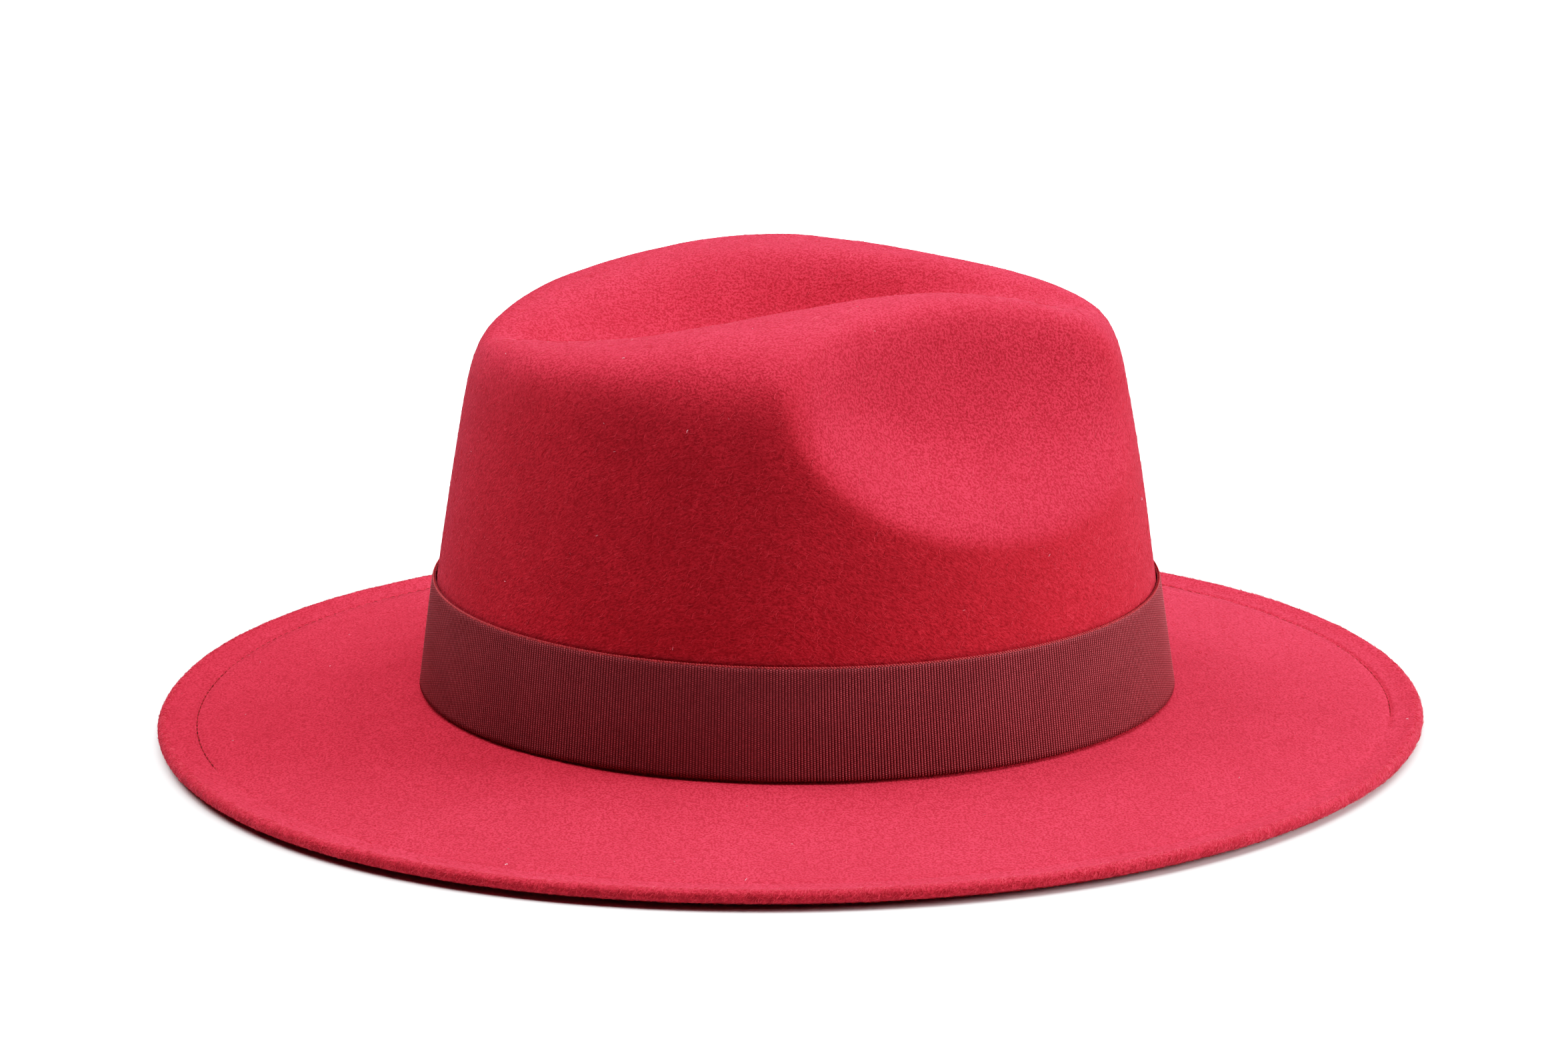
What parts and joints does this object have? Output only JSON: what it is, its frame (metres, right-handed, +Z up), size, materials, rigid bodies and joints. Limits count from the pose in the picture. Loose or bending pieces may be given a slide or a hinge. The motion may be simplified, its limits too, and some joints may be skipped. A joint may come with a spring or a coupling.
{
  "type": "fedora hat",
  "caption": "Felt fedora with a teardrop crease, a pinched front, a wide flat stitched brim and a ribbed ribbon band, open below for the head.",
  "frame": {"origin": "middle of the brim's outline, on the surface that the brim rests on", "axes": "+Z up through the crown, -Y towards the front of the hat, +X towards the wearer's left"},
  "size_m": [0.3012, 0.3444, 0.1269],
  "materials": {
    "felt": "matted red wool felt with a soft nap",
    "ribbon": "dark red grosgrain with upright ribs"
  },
  "bodies": {
    "root": {"felt_body": "felt", "ribbon_band": "ribbon"}
  },
  "joints": []
}
